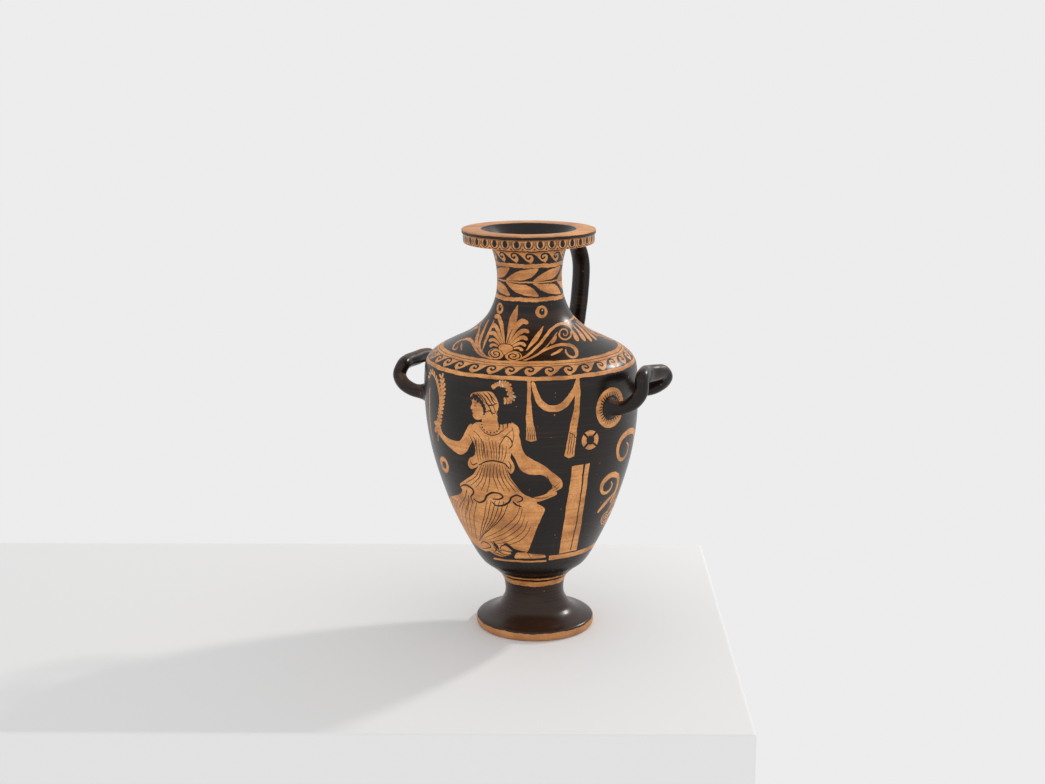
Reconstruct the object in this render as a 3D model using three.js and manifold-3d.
// A hydria, the three-handled water jar of ancient Greek pottery: one hollow piece of fired clay.
// Millimetres, +Z up. The foot rests on the plane z = 0 and the painted front faces -Y.
// The two side handles lie towards +X and -X, the back handle towards +Y.
import * as THREE from "three";
import { mergeVertices } from "three/addons/utils/BufferGeometryUtils.js";
import Module from "manifold-3d";

// Overall sizes.
const HEIGHT = 420;
const BODY_RADIUS = 110.6;
const WALL = 5;
const ROUND_SIDES = 52;

// The foot: a disc with a rounded edge, a trumpet up to a narrow stem, hollow underneath.
const FOOT_RADIUS = 62;
const FOOT_EDGE_HEIGHT = 9.6;
const REST_OUTER_RADIUS = 57;
const REST_INNER_RADIUS = 47;
const FOOT_HOLLOW_HEIGHT = 43;

// The rim: a thick flat ring that overhangs the neck.
const RIM_RADIUS = 68;
const RIM_FASCIA = 14.5;
const RIM_EDGE_ROUND = 3;
const MOUTH_RADIUS = 47;
const NECK_INNER_RADIUS = 28.2;
const BODY_FLOOR = 66;

// The whole jar leans a little, as it came from the kiln: sideways travel for each unit of height.
const LEAN_X = -0.0154;
const LEAN_Y = -0.0072;

// Where the foot's axis stands, seen from the middle of the jar's own box.
const FOOT_X = 5.5;
const FOOT_Y = 1.5;

// The side handles: a round rod that leaves the wall, bends up and bows across.
const ROD_RADIUS = 7.1;
const ROOT_RADIUS = 12.5;
const ROOT_LENGTH = 17;
const ROOT_DEPTH = 14;
const ROOT_SPREAD = 37;
const ROOT_INSET = 6;
const ROOT_RISE = 0.06;
const RIGHT_HANDLE = { frontRoot: 252, backRoot: 256.5, bow: 281.5, out: 24.5, bowOut: 18, bend: 8 };
const LEFT_HANDLE = { frontRoot: 247, backRoot: 248, bow: 274, out: 25.5, bowOut: 25.5, bend: 7.5 };

// The back handle: an oval strap from the neck, under the rim, down to the shoulder.
const STRAP_WIDTH = 18;
const STRAP_THICKNESS = 11;
const STRAP_TURN = 10;
const STRAP_REACH = 94;
const STRAP_TOP = 399;
const STRAP_FOOT_RADIUS = 84;
const STRAP_FOOT_HEIGHT = 300;
const STRAP_FOOT_LENGTH = 14;
const STRAP_FOOT_DEPTH = 4;
const STRAP_FOOT_SPREAD = 4;
const STRAP_FOOT_SLOPE = 0.25;

const wasm = await Module();
wasm.setup();

// A closed mesh with shared vertices, ready to be joined or cut.
function solidOf(geometry) {
  const bare = geometry.clone();
  bare.deleteAttribute("normal");
  bare.deleteAttribute("uv");
  const merged = mergeVertices(bare, 1e-3);
  const corners = merged.index.array;
  const kept = [];
  for (let i = 0; i < corners.length; i += 3) {
    const [a, b, c] = [corners[i], corners[i + 1], corners[i + 2]];
    if (a !== b && b !== c && c !== a) kept.push(a, b, c);
  }
  const vertProperties = new Float32Array(merged.attributes.position.array);
  const triVerts = new Uint32Array(kept);
  return new wasm.Manifold(new wasm.Mesh({ numProp: 3, vertProperties, triVerts }));
}

function geometryOf(solid) {
  const mesh = solid.getMesh();
  const geometry = new THREE.BufferGeometry();
  const places = new Float32Array(mesh.vertProperties);
  geometry.setAttribute("position", new THREE.BufferAttribute(places, 3));
  geometry.setIndex(new THREE.BufferAttribute(new Uint32Array(mesh.triVerts), 1));
  return geometry;
}

const at = (radius, height) => new THREE.Vector2(radius, height);

function turned(profile, sides = ROUND_SIDES) {
  return new THREE.LatheGeometry(profile, sides).rotateX(Math.PI / 2);
}

// The outer wall between the stem and the rim, thrown in one smooth sweep.
function wallCurve() {
  return new THREE.SplineCurve([
    at(37, 22), at(31.5, 32), at(30.9, 43), at(34.3, 54.5), at(44, 64.5), at(56.4, 75), at(70.6, 100),
    at(84.5, 130), at(95.4, 161), at(103.4, 190), at(108.4, 220), at(BODY_RADIUS, 250), at(109.8, 272),
    at(107, 286.5), at(97.2, 296.5), at(82, 304.6), at(61.7, 315), at(44.5, 330.5), at(35.3, 350),
    at(33, 369), at(34.5, 387), at(38.5, 402),
  ]);
}

// A quarter turn of a rounded edge, from one angle to another in degrees.
function roundEdge(centreRadius, centreHeight, round, from, to, steps = 3) {
  const points = [];
  for (let i = 0; i <= steps; i += 1) {
    const angle = THREE.MathUtils.degToRad(from + ((to - from) * i) / steps);
    points.push(at(centreRadius + round * Math.cos(angle), centreHeight + round * Math.sin(angle)));
  }
  return points;
}

// The jar as if it were solid, with the cone-shaped hollow under its foot.
function outerWall() {
  const footHollow = new THREE.SplineCurve([
    at(0, FOOT_HOLLOW_HEIGHT), at(13, 39), at(21, 29), at(28, 16), at(38, 6), at(REST_INNER_RADIUS, 0),
  ]).getPoints(6);
  footHollow[0].x = 0;
  const footEdge = [
    at(REST_OUTER_RADIUS, 0),
    at(61, 2),
    at(FOOT_RADIUS, 5),
    at(FOOT_RADIUS - 1, FOOT_EDGE_HEIGHT),
    at(57, 11.2),
    at(46, 15),
  ];
  const underside = HEIGHT - RIM_FASCIA;
  const edge = RIM_RADIUS - RIM_EDGE_ROUND;
  return turned([
    ...footHollow,
    ...footEdge,
    ...wallCurve().getPoints(27),
    at(47, underside + 2),
    ...roundEdge(edge - 1, underside + RIM_EDGE_ROUND, RIM_EDGE_ROUND, -90, 0, 2),
    ...roundEdge(edge, HEIGHT - RIM_EDGE_ROUND, RIM_EDGE_ROUND, 0, 90),
    at(0, HEIGHT),
  ]);
}

// The empty inside, from the floor up through the neck and out of the funnel-shaped mouth.
function inside() {
  const outer = wallCurve().getPoints(20).filter((point) => point.y > 72 && point.y < 392);
  const wall = outer.map((point, i) => {
    const before = outer[Math.max(i - 1, 0)];
    const after = outer[Math.min(i + 1, outer.length - 1)];
    const along = after.clone().sub(before).normalize();
    return at(point.x - along.y * WALL, point.y + along.x * WALL);
  });
  return turned([
    at(0, BODY_FLOOR),
    at(24, BODY_FLOOR + 1),
    at(40, BODY_FLOOR + 6),
    ...wall,
    at(NECK_INNER_RADIUS + 2.5, 398),
    at(36, 408),
    at(43, HEIGHT - 4.5),
    at(MOUTH_RADIUS, HEIGHT),
    at(MOUTH_RADIUS, HEIGHT + 20),
    at(0, HEIGHT + 20),
  ]);
}

// A trumpet-shaped root that widens from a rod to the wall, pointing along +Z from the wall's face.
function rootFlare(rod, root, length, depth) {
  const profile = [at(0, -depth), at(root, -depth)];
  for (let i = 0; i <= 4; i += 1) {
    const s = i / 4;
    profile.push(at(rod + (root - rod) * (1 - s) ** 2.2, length * s));
  }
  profile.push(at(0, length));
  return new THREE.LatheGeometry(profile, 12).rotateX(Math.PI / 2);
}

function pointedAlong(geometry, place, direction) {
  const upwards = new THREE.Vector3(0, 0, 1);
  const turn = new THREE.Quaternion().setFromUnitVectors(upwards, direction.clone().normalize());
  return geometry.applyQuaternion(turn).translate(place.x, place.y, place.z);
}

// Half of a side handle, from inside the wall to beside the middle of the bow. The limb runs out
// level, bends upwards where it has risen by the handle's bend, and leans back into the bow.
function handleLimb({ bow, out, bowOut, bend }, root) {
  return [
    [-ROOT_DEPTH, ROOT_SPREAD - 1, root - 0.5],
    [6, ROOT_SPREAD, root + 1],
    [out - 6, ROOT_SPREAD + 0.5, root + bend],
    [out, ROOT_SPREAD - 2, root + bend + 8.5],
    [out - 1, ROOT_SPREAD - 8, bow - 2],
    [(out + bowOut) / 2, ROOT_SPREAD / 2 - 1, bow],
  ];
}

// One side handle, made for the +X side and then turned about the axis.
function sideHandle(size, turn) {
  const towardsFront = turn === 0 ? -1 : 1;
  const point = ([away, across, height]) => new THREE.Vector3(BODY_RADIUS + away, across, height);
  const onSide = (side) => ([away, across, height]) => [away, side * across, height];
  const front = handleLimb(size, size.frontRoot).map(onSide(towardsFront));
  const back = handleLimb(size, size.backRoot).map(onSide(-towardsFront));
  const path = new THREE.CatmullRomCurve3(
    [...front, [size.bowOut, 0, size.bow], ...back.reverse()].map(point),
    false,
    "centripetal",
  );
  const round = new THREE.Shape().absarc(0, 0, ROD_RADIUS, 0, 2 * Math.PI);
  const rod = new THREE.ExtrudeGeometry(round, { steps: 24, curveSegments: 5, extrudePath: path });
  let handle = solidOf(rod.rotateZ(turn));
  for (const [side, root] of [[towardsFront, size.frontRoot], [-towardsFront, size.backRoot]]) {
    const flare = rootFlare(ROD_RADIUS, ROOT_RADIUS, ROOT_LENGTH, ROOT_DEPTH);
    const place = new THREE.Vector3(BODY_RADIUS - ROOT_INSET, side * ROOT_SPREAD, root);
    const direction = new THREE.Vector3(1, 0, ROOT_RISE);
    handle = handle.add(solidOf(pointedAlong(flare, place, direction).rotateZ(turn)));
  }
  return handle;
}

// The back handle lies in an upright plane through the axis, a little off the middle of the back.
function backHandle() {
  const path = new THREE.CatmullRomCurve3(
    [
      new THREE.Vector3(26, 0, STRAP_TOP - 13),
      new THREE.Vector3(44, 0, STRAP_TOP - 5),
      new THREE.Vector3(68, 0, STRAP_TOP),
      new THREE.Vector3(86, 0, STRAP_TOP - 7),
      new THREE.Vector3(STRAP_REACH, 0, STRAP_TOP - 27),
      new THREE.Vector3(STRAP_REACH - 2.5, 0, 338),
      new THREE.Vector3(STRAP_REACH - 6, 0, 316),
      new THREE.Vector3(STRAP_FOOT_RADIUS, 0, STRAP_FOOT_HEIGHT - 6),
    ],
    false,
    "centripetal",
  );
  const oval = new THREE.Shape().absellipse(0, 0, STRAP_WIDTH / 2, STRAP_THICKNESS / 2, 0, 2 * Math.PI);
  const strap = new THREE.ExtrudeGeometry(oval, { steps: 20, curveSegments: 6, extrudePath: path });
  const thin = STRAP_THICKNESS / 2;
  const flare = rootFlare(thin, thin + STRAP_FOOT_SPREAD, STRAP_FOOT_LENGTH, STRAP_FOOT_DEPTH);
  const place = new THREE.Vector3(STRAP_FOOT_RADIUS, 0, STRAP_FOOT_HEIGHT + 2);
  const direction = new THREE.Vector3(STRAP_FOOT_SLOPE, 0, 1);
  const foot = pointedAlong(flare.scale(1, 1.5, 1), place, direction);
  const turn = THREE.MathUtils.degToRad(90 - STRAP_TURN);
  return solidOf(strap.rotateZ(turn)).add(solidOf(foot.rotateZ(turn)));
}

function hydria() {
  const solid = solidOf(outerWall())
    .add(sideHandle(RIGHT_HANDLE, 0))
    .add(sideHandle(LEFT_HANDLE, Math.PI))
    .add(backHandle())
    .subtract(solidOf(inside()));
  const geometry = geometryOf(solid);
  geometry.applyMatrix4(new THREE.Matrix4().makeShear(0, 0, 0, 0, LEAN_X, LEAN_Y));
  geometry.translate(FOOT_X, FOOT_Y, 0);
  const glaze = new THREE.MeshStandardMaterial({ color: 0x1d1714, roughness: 0.38, metalness: 0 });
  const mesh = new THREE.Mesh(geometry, glaze);
  mesh.name = "hydria";
  return mesh;
}

const model = new THREE.Group();
model.add(hydria());

export default model;
